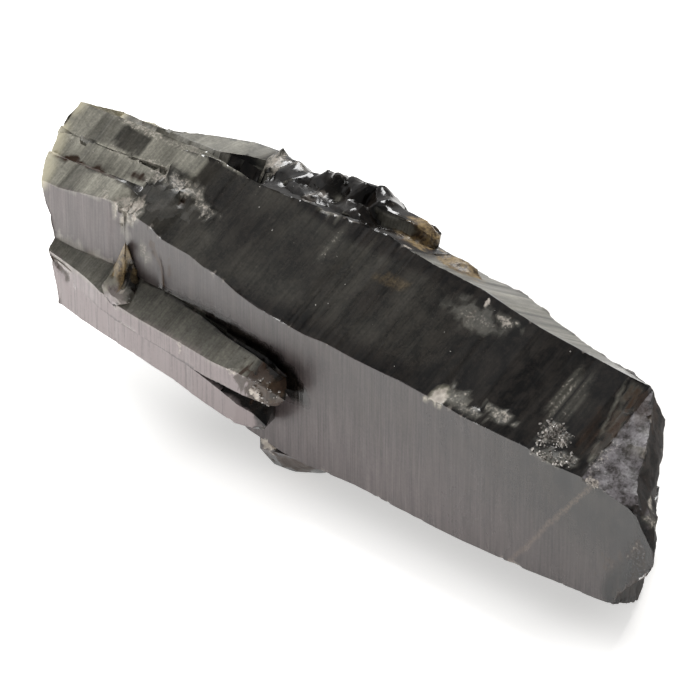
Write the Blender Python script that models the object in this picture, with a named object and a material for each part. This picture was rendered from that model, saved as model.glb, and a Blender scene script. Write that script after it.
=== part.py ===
"""A morion quartz cluster: one long stepped crystal of near-black smoky quartz lying on
its side, with smaller crystals grown on it, all joined in one stone.

Sizes are in millimetres in the stone's own frame: X runs along the long crystal from its
old root to its broken tip, Y = 0 is its big front face, Z = 0 is that face's lower edge.
The finished stone is moved so that the flat strip it rests on lies at the origin.
"""

import math
import random

import bmesh
import bpy
from mathutils import Vector

MM = 0.001

# Driving sizes
FLOOR_Z = -5.6
REST_POINT = Vector((60.0, 10.4, FLOOR_Z))
AXIS_Y = 12.0
AXIS_Z = 10.0
FRONT_REACH = 12.0
BACK_REACH = 12.7
UNDER_BACK_REACH = 13.4

# A quartz prism's faces stand 60 degrees apart.
FACE_STEP = math.radians(60)
COS_FACE = math.cos(FACE_STEP)
SIN_FACE = math.sin(FACE_STEP)
UPPER_FACE_SLOPE = math.tan(math.radians(30))

STONE_COLOUR = (0.016, 0.013, 0.011, 1.0)
STONE_ROUGHNESS = 0.12
QUARTZ_IOR = 1.544

# The long crystal, station by station along X: where its upper front edge and its lower
# front edge stand in Z, and how far its upper back face is from the axis.
LONG_CRYSTAL = [
    (-9.0, 19.6, 5.6, 14.6),
    (4.0, 19.9, 4.3, 14.8),
    (12.6, 20.2, 3.2, 15.2),
    (14.6, 23.6, 3.0, 15.6),
    (18.2, 23.0, 2.5, 16.1),
    (20.4, 22.0, 2.1, 16.1),
    (25.6, 21.7, 1.5, 15.7),
    (28.4, 21.0, 1.1, 15.6),
    (31.8, 20.6, 0.8, 15.8),
    (34.4, 19.8, 0.3, 15.9),
    (38.6, 19.0, -0.3, 16.1),
    (42.4, 18.6, -0.8, 16.3),
    (47.0, 18.4, -0.9, 16.4),
    (50.5, 18.7, -0.6, 16.0),
    (56.0, 18.5, -0.1, 15.6),
    (65.0, 18.6, -0.2, 15.5),
    (70.5, 18.4, -0.2, 14.8),
    (75.5, 18.0, -0.1, 14.3),
    (86.0, 18.2, 0.5, 13.9),
    (91.0, 17.6, 1.0, 13.7),
    (96.3, 18.0, 1.4, 13.7),
    (112.0, 18.0, 3.4, 13.6),
]

# The row of blocky small crystals on the upper back face: centre, half sizes, seed.
BACK_LUMPS = [
    ((20.8, 21.6, 23.2), (3.2, 3.6, 3.9), 3),
    ((25.2, 21.2, 23.4), (4.2, 3.8, 3.7), 5),
    ((30.4, 21.4, 23.7), (4.4, 4.0, 4.3), 8),
    ((35.4, 21.6, 23.4), (4.2, 4.2, 4.9), 11),
    ((39.6, 22.0, 23.5), (3.9, 4.2, 4.6), 13),
    ((29.6, 17.9, 24.4), (5.4, 2.6, 2.3), 17),
    ((37.2, 18.2, 24.6), (5.0, 2.6, 2.6), 23),
]


def new_collection(name):
    collection = bpy.data.collections.new(name)
    bpy.context.scene.collection.children.link(collection)
    return collection


def mesh_object(name, bm, collection):
    """Close the working mesh into an object in the rest frame, in metres."""
    bmesh.ops.recalc_face_normals(bm, faces=bm.faces)
    for vertex in bm.verts:
        vertex.co = (vertex.co - REST_POINT) * MM
    mesh = bpy.data.meshes.new(name)
    bm.to_mesh(mesh)
    bm.free()
    obj = bpy.data.objects.new(name, mesh)
    collection.objects.link(obj)
    return obj


def hexagon(centre, front, up, reach):
    """The six corners where neighbouring prism faces meet, each face at its own reach.

    The faces run front, upper front, upper back, back, lower back, lower front.
    """
    corners = []
    for k in range(6):
        here = reach[k]
        following = reach[(k + 1) % 6]
        along = (following - here * COS_FACE) / SIN_FACE
        angle = k * FACE_STEP
        normal = front * math.cos(angle) + up * math.sin(angle)
        tangent = up * math.cos(angle) - front * math.sin(angle)
        corners.append(centre + normal * here + tangent * along)
    return corners


def loft(rings, tip=None):
    """Skin a row of six-cornered rings; the last ring closes flat or at a tip point."""
    bm = bmesh.new()
    rows = [[bm.verts.new(corner) for corner in ring] for ring in rings]
    count = len(rows[0])
    for row, following in zip(rows, rows[1:]):
        for k in range(count):
            nxt = (k + 1) % count
            bm.faces.new((row[k], row[nxt], following[nxt], following[k]))
    bm.faces.new(rows[0])
    if tip is None:
        bm.faces.new(rows[-1])
    else:
        apex = bm.verts.new(tip)
        for k in range(count):
            bm.faces.new((rows[-1][k], rows[-1][(k + 1) % count], apex))
    return bm


def direction(yaw, pitch):
    """A unit vector turned from +X: yaw towards the back, pitch upwards, in degrees."""
    turn = math.radians(yaw)
    lift = math.radians(pitch)
    return Vector((math.cos(lift) * math.cos(turn), math.cos(lift) * math.sin(turn), math.sin(lift)))


def crystal(name, collection, root, stations, yaw=0, pitch=0, roll=0, tip=None):
    """A six-sided prism along its own axis.

    Stations are (distance along the axis, six face reaches). Roll turns the faces about
    the axis. The tip is (distance, towards the front, up), or None for a flat end.
    """
    axis = direction(yaw, pitch)
    level = Vector((0, 0, 1)).cross(axis).normalized() * -1
    rise = level.cross(axis)
    angle = math.radians(roll)
    front = level * math.cos(angle) + rise * math.sin(angle)
    up = front.cross(axis)
    start = Vector(root)
    rings = [hexagon(start + axis * along, front, up, reach) for along, reach in stations]
    point = None
    if tip is not None:
        point = start + axis * tip[0] + front * tip[1] + up * tip[2]
    return mesh_object(name, loft(rings, point), collection)


def long_crystal(name, collection):
    """The main prism: its front face stays in one plane, the upper ones step and taper."""
    axis_point = Vector((0, AXIS_Y, AXIS_Z))
    front = Vector((0, -1, 0))
    up = Vector((0, 0, 1))
    rings = []
    for x, top_edge, low_edge, upper_back in LONG_CRYSTAL:
        upper_front = COS_FACE * FRONT_REACH + SIN_FACE * (top_edge - AXIS_Z)
        lower_front = COS_FACE * FRONT_REACH + SIN_FACE * (AXIS_Z - low_edge)
        reach = (FRONT_REACH, upper_front, upper_back, BACK_REACH, UNDER_BACK_REACH, lower_front)
        rings.append(hexagon(axis_point + Vector((x, 0, 0)), front, up, reach))
    return mesh_object(name, loft(rings), collection)


def hull(name, collection, points):
    """A faceted shard: the tight skin round a handful of points."""
    bm = bmesh.new()
    for point in points:
        bm.verts.new(point)
    result = bmesh.ops.convex_hull(bm, input=bm.verts)
    inside = [v for v in result["geom_interior"] if isinstance(v, bmesh.types.BMVert)]
    bmesh.ops.delete(bm, geom=inside, context="VERTS")
    return mesh_object(name, bm, collection)


def lump(name, collection, centre, half_sizes, seed, corners=18):
    """A blocky small crystal: the hull of corners spread over an ellipsoid and jittered."""
    rng = random.Random(seed)
    golden_turn = math.pi * (3 - math.sqrt(5))
    points = []
    for k in range(corners):
        height = 1 - 2 * (k + 0.5) / corners
        turn = k * golden_turn + rng.uniform(-0.4, 0.4)
        flat = math.sqrt(1 - height * height)
        offset = Vector((math.cos(turn) * flat, math.sin(turn) * flat, height))
        offset *= rng.uniform(0.86, 1.1)
        points.append(Vector(centre) + Vector(offset[i] * half_sizes[i] for i in range(3)))
    return hull(name, collection, points)


def relief_block(name, collection, centre, shape, yaw, pitch, size, cells, depth):
    """A cutter whose working face is a rough relief.

    The face looks back along its direction; shape(a, b) gives how far it stands forward
    at a to the side and b up, in millimetres, and the block runs on for depth behind it.
    """
    middle = Vector(centre)
    axis = direction(yaw, pitch)
    side = Vector((0, 0, 1)).cross(axis).normalized()
    rise = axis.cross(side)
    bm = bmesh.new()
    bmesh.ops.create_grid(bm, x_segments=cells[0], y_segments=cells[1], size=0.5)
    for vertex in bm.verts:
        a = vertex.co.x * size[0]
        b = vertex.co.y * size[1]
        vertex.co = middle + side * a + rise * b + axis * shape(a, b)
    bmesh.ops.triangulate(bm, faces=bm.faces, quad_method="SHORT_EDGE")
    faces = bm.faces[:]
    extruded = bmesh.ops.extrude_face_region(bm, geom=faces, use_keep_orig=True)
    moved = [v for v in extruded["geom"] if isinstance(v, bmesh.types.BMVert)]
    far_point = middle + axis * depth
    for vertex in moved:
        vertex.co += axis * (far_point - vertex.co).dot(axis)
    return mesh_object(name, bm, collection)


def roughness(seed, pitch, height, waves=9):
    """A bumpy field for a broken face: waves of about the given pitch, from one seed."""
    rng = random.Random(seed)
    trains = []
    for k in range(waves):
        angle = rng.uniform(0, math.tau)
        step = pitch * rng.uniform(0.7, 2.2)
        trains.append((math.cos(angle) / step, math.sin(angle) / step, rng.uniform(0, math.tau)))

    def field(a, b):
        total = sum(math.sin(math.tau * (a * fx + b * fy) + phase) for fx, fy, phase in trains)
        return height * total / math.sqrt(waves)

    return field


def box_cutter(name, collection, low, high):
    bm = bmesh.new()
    bmesh.ops.create_cube(bm, size=1.0)
    for vertex in bm.verts:
        vertex.co = Vector(low[i] if vertex.co[i] < 0 else high[i] for i in range(3))
    return mesh_object(name, bm, collection)


def boolean(target, tool, operation):
    modifier = target.modifiers.new(tool.name, "BOOLEAN")
    modifier.operation = operation
    modifier.solver = "EXACT"
    modifier.object = tool
    tool.hide_render = True
    tool.display_type = "WIRE"


def parallel_crystals(collection):
    """The stepped shelves of parallel growth on the upper face at the root end."""
    upper = crystal(
        "upper_step", collection, (0, 12.0, 18.0),
        [
            (-12.0, (4.8, 9.1, 8.1, 7.0, 6.0, 4.0)),
            (-3.0, (4.6, 9.2, 8.4, 7.0, 6.0, 4.0)),
            (4.0, (4.4, 9.2, 8.8, 7.0, 6.0, 4.0)),
            (12.0, (3.9, 9.3, 9.2, 7.0, 6.0, 4.0)),
            (16.5, (3.6, 9.3, 9.5, 7.0, 6.0, 4.0)),
            (23.0, (3.4, 9.0, 8.9, 7.0, 6.0, 4.0)),
        ],
    )
    middle = crystal(
        "middle_step", collection, (0, 9.0, 18.0),
        [
            (-12.0, (5.0, 7.0, 6.6, 5.0, 5.0, 5.0)),
            (0.0, (4.8, 7.1, 6.6, 5.0, 5.0, 5.0)),
            (9.0, (4.2, 7.2, 6.6, 5.0, 5.0, 5.0)),
            (15.0, (3.6, 7.3, 6.6, 5.0, 5.0, 5.0)),
        ],
    )
    lower = crystal(
        "lower_step", collection, (0, 7.0, 15.0),
        [
            (-12.0, (7.35, 9.9, 5.8, 5.0, 7.0, 12.2)),
            (-2.0, (7.35, 10.0, 6.2, 5.0, 7.0, 12.0)),
            (1.4, (7.35, 10.1, 6.5, 5.0, 7.0, 12.0)),
            (6.4, (7.35, 11.0, 6.8, 5.0, 7.0, 11.8)),
            (11.2, (7.35, 11.8, 7.1, 5.0, 7.0, 11.6)),
            (13.6, (7.15, 10.9, 6.3, 5.0, 7.0, 11.5)),
        ],
    )
    return [upper, middle, lower]


def front_shoot(collection):
    """The upper of the two slim crystals that lean away from the front face."""
    return crystal(
        "front_shoot", collection, (0, -0.4, 12.85),
        [
            (-9.0, (1.2, 1.2, 1.6, 3.0, 3.0, 2.4)),
            (4.0, (1.8, 1.45, 1.95, 3.0, 3.0, 2.6)),
            (13.0, (3.2, 2.55, 3.35, 3.0, 3.0, 3.0)),
            (21.0, (3.45, 2.9, 3.9, 3.0, 3.0, 3.1)),
            (27.0, (3.45, 3.1, 3.85, 2.8, 3.0, 3.1)),
            (32.4, (3.4, 3.15, 3.4, 2.3, 3.0, 3.25)),
            (41.4, (3.3, 2.9, 2.3, 1.4, 2.4, 2.9)),
            (44.6, (2.7, 2.3, 1.7, 0.9, 1.8, 2.5)),
        ],
        yaw=-1.7, pitch=-3.5, tip=(46.4, 1.0, -0.5),
    )


def lower_shoot(collection):
    """The lower slim crystal, with a wedge of space between it and the upper one."""
    return crystal(
        "lower_shoot", collection, (0, 0.05, 10.0),
        [
            (-9.0, (1.6, 3.4, 4.0, 4.0, 4.0, 3.9)),
            (8.5, (2.6, 4.0, 4.0, 4.0, 4.0, 3.9)),
            (16.6, (2.9, 3.9, 4.0, 3.8, 3.8, 3.5)),
            (27.0, (2.9, 3.25, 3.4, 3.2, 3.4, 3.1)),
            (32.2, (2.8, 2.95, 3.2, 3.0, 3.4, 3.2)),
            (39.4, (2.65, 2.15, 2.6, 2.6, 3.4, 3.2)),
            (42.0, (1.9, 1.4, 1.8, 2.0, 2.6, 2.5)),
        ],
        yaw=-3.0, pitch=-6.0, tip=(43.6, 0.9, -1.0),
    )


def amber_wedge(collection):
    """The pointed amber chip that stands on the upper slim crystal."""
    points = [
        (14.9, -1.3, 20.0),
        (14.2, -0.4, 19.4),
        (13.0, -1.3, 16.7),
        (12.4, -3.4, 13.6),
        (15.0, -4.7, 12.6),
        (17.9, -3.9, 13.9),
        (17.2, -2.6, 15.6),
        (15.9, -0.6, 17.4),
        (14.6, 0.8, 13.6),
        (17.4, -0.6, 13.4),
    ]
    return hull("amber_wedge", collection, points)


def front_foot(collection):
    """The small dark crystal that sticks out under the front face and helps it stand."""
    points = [
        (37.4, 1.2, -0.6),
        (38.2, 0.5, -2.4),
        (38.6, 3.1, -6.2),
        (41.0, 3.6, -6.4),
        (44.0, 6.0, -6.4),
        (41.4, 0.3, -1.6),
        (47.0, 1.4, -1.2),
        (46.0, 7.6, -5.4),
        (40.0, 8.6, -6.2),
        (38.4, 6.0, -2.0),
        (44.0, 5.0, 1.0),
    ]
    return hull("front_foot", collection, points)


def back_shoot(collection):
    """The slim crystal that leans back from the upper back face."""
    return crystal(
        "back_shoot", collection, (0.6, 14.6, 20.6),
        [
            (-4.0, (3.6, 4.0, 4.2, 4.2, 4.4, 4.0)),
            (8.0, (4.0, 4.4, 4.2, 4.2, 4.4, 4.2)),
            (16.0, (3.6, 4.35, 4.2, 4.0, 4.0, 4.0)),
            (20.0, (2.8, 3.7, 3.6, 3.4, 3.2, 3.4)),
        ],
        yaw=26, roll=30, tip=(21.6, 0.6, 0.8),
    )


def resting_crystal(collection):
    """The thick crystal grown along the lower back, whose keel is the second resting edge."""
    return crystal(
        "resting_crystal", collection, (4.0, 22.3, 2.8),
        [
            (-14.0, (6.0, 6.6, 6.4, 6.2, 6.8, 7.0)),
            (10.0, (7.4, 8.0, 7.8, 7.4, 7.9, 8.2)),
            (36.0, (7.0, 7.4, 7.2, 6.6, 7.6, 7.8)),
            (50.0, (6.6, 7.0, 6.6, 6.2, 7.2, 7.2)),
        ],
        yaw=6.5, pitch=-0.6, tip=(59.0, 1.2, -0.8),
    )


def small_back_crystals(collection):
    """The two short crystals that stand off the back."""
    upright = crystal(
        "upright_crystal", collection, (52.0, 20.6, 9.0),
        [
            (-4.0, (3.8, 4.0, 3.8, 3.6, 4.0, 4.0)),
            (9.0, (3.6, 3.6, 3.6, 3.4, 3.7, 3.6)),
        ],
        yaw=38, pitch=24, roll=12, tip=(13.4, 0.5, 0.4),
    )
    low = crystal(
        "low_back_crystal", collection, (30.0, 24.0, 9.6),
        [
            (-4.0, (3.6, 3.4, 3.6, 3.6, 3.8, 3.6)),
            (7.6, (3.2, 3.0, 3.2, 3.2, 3.3, 3.2)),
        ],
        yaw=62, pitch=6, roll=8, tip=(11.6, -0.3, 0.4),
    )
    return [upright, low]


def back_lumps(collection):
    """The row of blocky crystals behind the ridge, and the low amber lump past them."""
    made = []
    for k, (centre, half_sizes, seed) in enumerate(BACK_LUMPS):
        made.append(lump(f"back_lump_{k + 1}", collection, centre, half_sizes, seed))
    made.append(lump("amber_low", collection, (54.6, 20.0, 22.9), (5.4, 2.2, 2.0), seed=19))
    return made


def back_plates(collection):
    """Two flat growth plates on the back face, which give it its ledges."""
    root_plate = crystal(
        "root_plate", collection, (2.0, 17.0, 12.0),
        [
            (-14.0, (4.0, 6.0, 6.6, 8.5, 7.4, 6.0)),
            (22.0, (4.0, 6.0, 6.2, 8.4, 7.0, 6.0)),
            (23.2, (4.0, 6.0, 5.6, 7.5, 6.4, 6.0)),
        ],
    )
    tip_plate = crystal(
        "tip_plate", collection, (38.0, 16.4, 7.4),
        [
            (0.0, (4.0, 6.0, 5.6, 8.1, 7.6, 6.0)),
            (1.4, (4.0, 6.0, 6.4, 9.1, 8.4, 6.0)),
            (40.0, (4.0, 6.0, 5.8, 8.9, 8.1, 6.0)),
        ],
    )
    return [root_plate, tip_plate]


def amber_crystal(collection):
    """The stubby amber crystal at the end of the row of lumps."""
    return crystal(
        "amber_crystal", collection, (40.6, 21.8, 24.4),
        [
            (-1.0, (2.5, 2.6, 2.6, 2.4, 2.5, 2.6)),
            (5.6, (2.4, 2.7, 2.6, 2.4, 2.4, 2.4)),
            (7.4, (1.7, 1.9, 1.9, 1.7, 1.7, 1.7)),
        ],
        yaw=6, pitch=-6, roll=22, tip=(8.6, 0.1, -0.3),
    )


def root_break(collection):
    """The rough, slanting face where the stone broke off its matrix, hollow in the middle."""
    field = roughness(seed=41, pitch=11.0, height=0.45)
    hollow_depth = 3.4
    hollow_spread = 90.0

    def shape(a, b):
        hollow = hollow_depth * math.exp(-((a + 5) ** 2 + (b + 4) ** 2) / hollow_spread)
        return field(a, b) - hollow

    return relief_block(
        "root_break", collection, (-1.8, 9.0, 14.0), shape,
        yaw=193, pitch=-17, size=(70, 60), cells=(18, 16), depth=30,
    )


def tip_break(collection):
    """The oblique broken tip: it leans out below the upper face, then undercuts."""
    field = roughness(seed=57, pitch=7.0, height=0.35)
    centre = Vector((100.2, 6.0, 14.5))
    yaw = 33
    rim_height = 17.4
    widest_below_rim = 4.5
    fade_below_widest = 6.6
    quarter = math.radians(90)
    last_angle = math.radians(150)

    def shape(a, b):
        y = centre.y + a * math.cos(math.radians(yaw))
        below_rim = rim_height + UPPER_FACE_SLOPE * y - (centre.z + b)
        swell = max(1.4, 3.0 - 0.17 * max(0.0, y))
        if below_rim < widest_below_rim:
            belly = math.sin(quarter * max(0.0, below_rim) / widest_below_rim) ** 2
        else:
            angle = quarter * (below_rim - widest_below_rim) / fade_below_widest
            belly = math.cos(min(angle, last_angle))
        return swell * belly + field(a, b)

    return relief_block(
        "tip_break", collection, centre, shape,
        yaw=yaw, pitch=0, size=(56, 52), cells=(26, 24), depth=40,
    )


def back_break(collection):
    """The long slanting break that takes the upper back corner off the tip."""
    field = roughness(seed=71, pitch=9.0, height=0.4)

    def shape(a, b):
        return field(a, b) + 0.1 * max(0.0, -a - 9)

    return relief_block(
        "back_break", collection, (78.3, 18.7, 22.6), shape,
        yaw=71, pitch=14, size=(70, 44), cells=(18, 12), depth=40,
    )


def top_chip(collection):
    """The shallow rough scar beside the tip on the upper front face."""
    field = roughness(seed=83, pitch=5.0, height=0.22)
    return relief_block(
        "top_chip", collection, (100.2, 4.6, 19.95), field,
        yaw=-76, pitch=60, size=(13, 26), cells=(8, 12), depth=12,
    )


def floor_cut(collection):
    """Planes the lowest edges flat where the stone has worn against what it lies on."""
    return box_cutter("floor_cut", collection, (-60, -60, FLOOR_Z - 30), (160, 90, FLOOR_Z))


def stone_material(name):
    material = bpy.data.materials.new(name)
    material.use_nodes = True
    shader = material.node_tree.nodes["Principled BSDF"]
    shader.inputs["Base Color"].default_value = STONE_COLOUR
    shader.inputs["Roughness"].default_value = STONE_ROUGHNESS
    shader.inputs["Metallic"].default_value = 0.0
    shader.inputs["IOR"].default_value = QUARTZ_IOR
    return material


def build():
    for obj in list(bpy.data.objects):
        bpy.data.objects.remove(obj)
    stones = new_collection("morion_quartz_cluster")
    shapes = new_collection("shapes_joined_or_cut")

    cluster = long_crystal("quartz_cluster", stones)
    cluster.data.materials.append(stone_material("morion_quartz"))

    grown_on = parallel_crystals(shapes)
    grown_on += [front_shoot(shapes), lower_shoot(shapes), amber_wedge(shapes), front_foot(shapes)]
    grown_on += [back_shoot(shapes), resting_crystal(shapes)]
    grown_on += small_back_crystals(shapes) + back_lumps(shapes) + back_plates(shapes)
    grown_on.append(amber_crystal(shapes))
    for tool in grown_on:
        boolean(cluster, tool, "UNION")

    broken_off = [
        root_break(shapes),
        tip_break(shapes),
        back_break(shapes),
        top_chip(shapes),
        floor_cut(shapes),
    ]
    for tool in broken_off:
        boolean(cluster, tool, "DIFFERENCE")


build()
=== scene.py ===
"""Morion quartz cluster: the finish of the stone, its light and its camera.

The stone is worked in millimetres in its own frame, as a mineral collector would measure it:
X along the long crystal from root to tip, Y = 0 the big front face, Z = 0 its lower edge.
"""

import math
import random

import bmesh
import bpy
import numpy as np
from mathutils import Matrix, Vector
from mathutils.bvhtree import BVHTree
from mathutils.kdtree import KDTree


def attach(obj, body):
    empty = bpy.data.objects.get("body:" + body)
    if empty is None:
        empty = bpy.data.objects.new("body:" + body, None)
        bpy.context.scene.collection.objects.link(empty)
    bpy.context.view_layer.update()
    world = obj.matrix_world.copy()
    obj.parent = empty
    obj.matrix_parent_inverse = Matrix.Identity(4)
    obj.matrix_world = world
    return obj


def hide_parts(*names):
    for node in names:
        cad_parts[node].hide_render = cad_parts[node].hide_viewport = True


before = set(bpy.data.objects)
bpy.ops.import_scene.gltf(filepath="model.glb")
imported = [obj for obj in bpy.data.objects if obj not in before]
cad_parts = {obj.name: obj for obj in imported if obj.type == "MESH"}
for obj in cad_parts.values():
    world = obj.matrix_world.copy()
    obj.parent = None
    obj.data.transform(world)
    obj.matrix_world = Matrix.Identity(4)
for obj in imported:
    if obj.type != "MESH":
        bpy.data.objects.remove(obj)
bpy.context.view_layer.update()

MM = 0.001
STONE = "quartz_cluster"

# The stone's own frame, in millimetres: the world's origin lies at this point of it.
REST_POINT = np.array((60.0, 10.4, -5.6))

# The camera, as the photograph was taken.
VIEW_AZIMUTH = 45.0
VIEW_ELEVATION = 30.0
VIEW_TARGET = np.array((43.25, 12.0, 9.76))
VIEW_DISTANCE = 781.25
FOCAL_LENGTH = 308.57
SENSOR_WIDTH = 36.0

# The cuts that divide the faces, in millimetres: from, to, how far apart, the seed and how
# uneven. The growth lines run across the long axis.
GROWTH_LINES = (-12.0, 110.0, 0.46, 1, 0.6)
CUTS_IN_DEPTH = (-8.0, 38.0, 0.8, 2, 0.1)
CUTS_IN_HEIGHT = (-6.0, 32.0, 0.8, 3, 0.1)

# The prism's upper faces rise this much for every millimetre across: 30 degrees.
PRISM_SLOPE = 0.577

# Outward directions of the broken faces.
ROOT_BREAK = Vector((-0.932, -0.215, -0.292))
BACK_BREAK = Vector((0.316, 0.917, 0.242))
BACK_BREAK_POINT = Vector((78.3, 18.7, 22.6))

# Where the thin rim of the root end lies: y, x.
RIM_LINE = [
    (-0.4, -2.3), (0.4, -2.8), (1.3, -3.5), (2.1, -4.0), (3.3, -4.6), (4.3, -5.2), (4.9, -5.65),
    (5.7, -6.1), (6.7, -6.55), (7.8, -6.8), (8.9, -6.9), (9.9, -6.8), (10.8, -6.6),
]

# The places that grew rounded: the row of dark lumps, the amber crystal, the olive lump and
# the amber wedge. Each has its low and high corner, and how often it is smoothed.
ROUNDED = [
    ((21.0, 17.6, 19.0), (41.5, 27.0, 30.0), 8),
    ((41.5, 18.6, 22.5), (52.0, 27.0, 30.0), 5),
    ((50.5, 18.2, 22.0), (61.0, 23.5, 26.0), 7),
    ((12.0, -5.0, 12.5), (18.5, -0.3, 18.0), 1),
]

# The crest of the dark lumps: x + y, and how high z + 0.406 (y - x) may reach there.
CREST_LINE = [
    (43.6, 26.7), (45.6, 26.3), (47.6, 25.8), (49.6, 25.2), (51.6, 24.1), (53.6, 23.5),
    (55.6, 23.0), (57.6, 22.5), (59.6, 22.2), (61.6, 21.6), (64.0, 21.4),
]

QUARTZ_IOR = 1.544


def to_linear(code):
    """An sRGB hex colour as linear RGBA."""
    parts = [int(code[i:i + 2], 16) / 255 for i in (1, 3, 5)]
    linear = [c / 12.92 if c <= 0.04045 else ((c + 0.055) / 1.055) ** 2.4 for c in parts]
    return (*linear, 1.0)


def to_world(points):
    """Millimetres in the stone's own frame as metres in the world."""
    return (np.asarray(points, float) - REST_POINT) * MM


def smooth_step(start, full, value):
    """0 before the start, 1 past full and smooth between; start may be the higher of the two."""
    t = np.clip((value - start) / (full - start), 0.0, 1.0)
    return t * t * (3 - 2 * t)


def within(value, start, full, last, end):
    """1 from full to last, and 0 before the start and past the end."""
    return smooth_step(start, full, value) * smooth_step(end, last, value)


def above_slim_top(y, z):
    """How far a point is above the sloping top of the slim crystal."""
    return z - (12.6 + PRISM_SLOPE * (y + 4.9))


def wave_noise(points, pitch, seed, count=10):
    """Smooth noise of about -1 to 1: plane waves of about the given pitch in millimetres."""
    rng = np.random.default_rng(seed)
    total = np.zeros(len(points))
    for k in range(count):
        way = rng.normal(size=3)
        way /= np.linalg.norm(way)
        length = pitch * rng.uniform(0.6, 1.9)
        total += np.sin(points @ way * (math.tau / length) + rng.uniform(0, math.tau))
    return total / math.sqrt(count)


def layered_noise(points, pitch, seed, layers=3):
    """Wave noise with finer, weaker layers on it."""
    total = np.zeros(len(points))
    for k in range(layers):
        total += wave_noise(points, pitch / 2 ** k, seed + k) / 2 ** k
    return total


# Dividing the faces


def slice_faces(bm, faces, axis, cuts):
    """Cut the faces at every position in cuts along one axis, halving the list each time."""
    if not cuts or not faces:
        return
    middle = len(cuts) // 2
    at = cuts[middle]
    low, high, crossing = [], [], []
    for face in faces:
        values = [v.co[axis] for v in face.verts]
        if max(values) <= at + 1e-4:
            low.append(face)
        elif min(values) >= at - 1e-4:
            high.append(face)
        else:
            crossing.append(face)
    if crossing:
        edges = list({e for f in crossing for e in f.edges})
        verts = list({v for f in crossing for v in f.verts})
        normal = Vector((0, 0, 0))
        normal[axis] = 1.0
        made = bmesh.ops.bisect_plane(
            bm, geom=crossing + edges + verts, dist=1e-5, plane_co=normal * at, plane_no=normal,
        )
        for face in made["geom"]:
            if isinstance(face, bmesh.types.BMFace):
                if face.calc_center_median()[axis] < at:
                    low.append(face)
                else:
                    high.append(face)
    slice_faces(bm, low, axis, cuts[:middle])
    slice_faces(bm, high, axis, cuts[middle + 1:])


def spaced(low, high, pitch, seed, jitter):
    """Positions from low to high about a pitch apart, unevenly spaced."""
    rng = random.Random(seed)
    positions = []
    at = low
    while at < high:
        at += pitch * rng.uniform(1 - jitter, 1 + jitter)
        positions.append(at)
    return positions


def round_the_rim(bm):
    """Draw the root end of the shelves out to their thin, rounded rim."""
    bm.normal_update()
    rim = set()
    for face in bm.faces:
        if face.normal.dot(ROOT_BREAK) > 0.62 and face.calc_center_median().x < 0:
            rim.update(face.verts)
    places, reaches = zip(*RIM_LINE)
    for vertex in rim:
        if vertex.co.y < 11.0:
            drawn = smooth_step(17.0, 21.5, vertex.co.z)
            vertex.co.x += drawn * (np.interp(vertex.co.y, places, reaches) - vertex.co.x)


def ease_the_front(bm):
    """Ease the small steps of the root end, and settle the slim crystal's top a little."""
    bm.normal_update()
    for vertex in bm.verts:
        x, y, z = vertex.co
        # The wall at the end of the lower step is as high as the face beyond it.
        if 13.3 < x < 14.9 and -0.3 < y < 4.5 and z > 21.0 and vertex.normal.y > -0.9:
            top = 24.6 + (0.49 * (y - 1.8) - 0.14 * (x - 14.6)) / 0.86
            vertex.co.z = max(z, top - 0.1)
        # The middle and the upper step lie almost flush.
        between = z - (25.8 + 0.045 * (x - 2.7) + PRISM_SLOPE * (y - 7.5))
        if x < 14.5 and 3.9 < y < 11.2 and abs(between) < 0.8 and vertex.normal.z > 0.2:
            flush = within(y, 3.9, 7.4, 8.0, 11.2) * smooth_step(14.5, 13.0, x)
            vertex.co.z -= 0.85 * flush * between
        # The front of the root end stands a little proud and runs out into the big face.
        if 11.0 < x < 16.5 and -0.4 < y < 0.12 and 14.0 < z < 22.6:
            vertex.co.y = -0.2 * (1 - smooth_step(11.0, 16.5, x))
        # The slim crystal's top settles by up to a millimetre.
        if 8.0 < x < 42.0 and y < 0.06:
            above_top = above_slim_top(y, z) + 0.06 * max(0.0, x - 24.0)
            vertex.co.z -= within(x, 8.0, 18.0, 33.0, 42.0) * within(above_top, -5.0, -0.6, 1.2, 6.0)


def round_the_lumps(bm):
    """Round the glassy lumps on the back and the amber growths."""
    for low, high, rounds in ROUNDED:
        inside = [v for v in bm.verts if all(a < c < b for a, c, b in zip(low, v.co, high))]
        for _ in range(rounds):
            bmesh.ops.smooth_vert(
                bm, verts=inside, factor=0.5, use_axis_x=True, use_axis_y=True, use_axis_z=True,
            )
    for vertex in bm.verts:
        x, y, z = vertex.co
        if 20.0 < x < 42.0 and y > 17.5 and z > 22.0:
            over = z + 0.406 * (y - x) - float(np.interp(x + y, *zip(*CREST_LINE)))
            vertex.co.z -= 0.9 * max(0.0, over)
        if 39.0 < x < 52.0 and 20.6 < y < 28.0 and z > 24.0:
            falling = smooth_step(39.0, 41.0, x) * smooth_step(24.0, 25.4, z)
            vertex.co.z -= 0.38 * (y - 20.6) * falling


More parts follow.
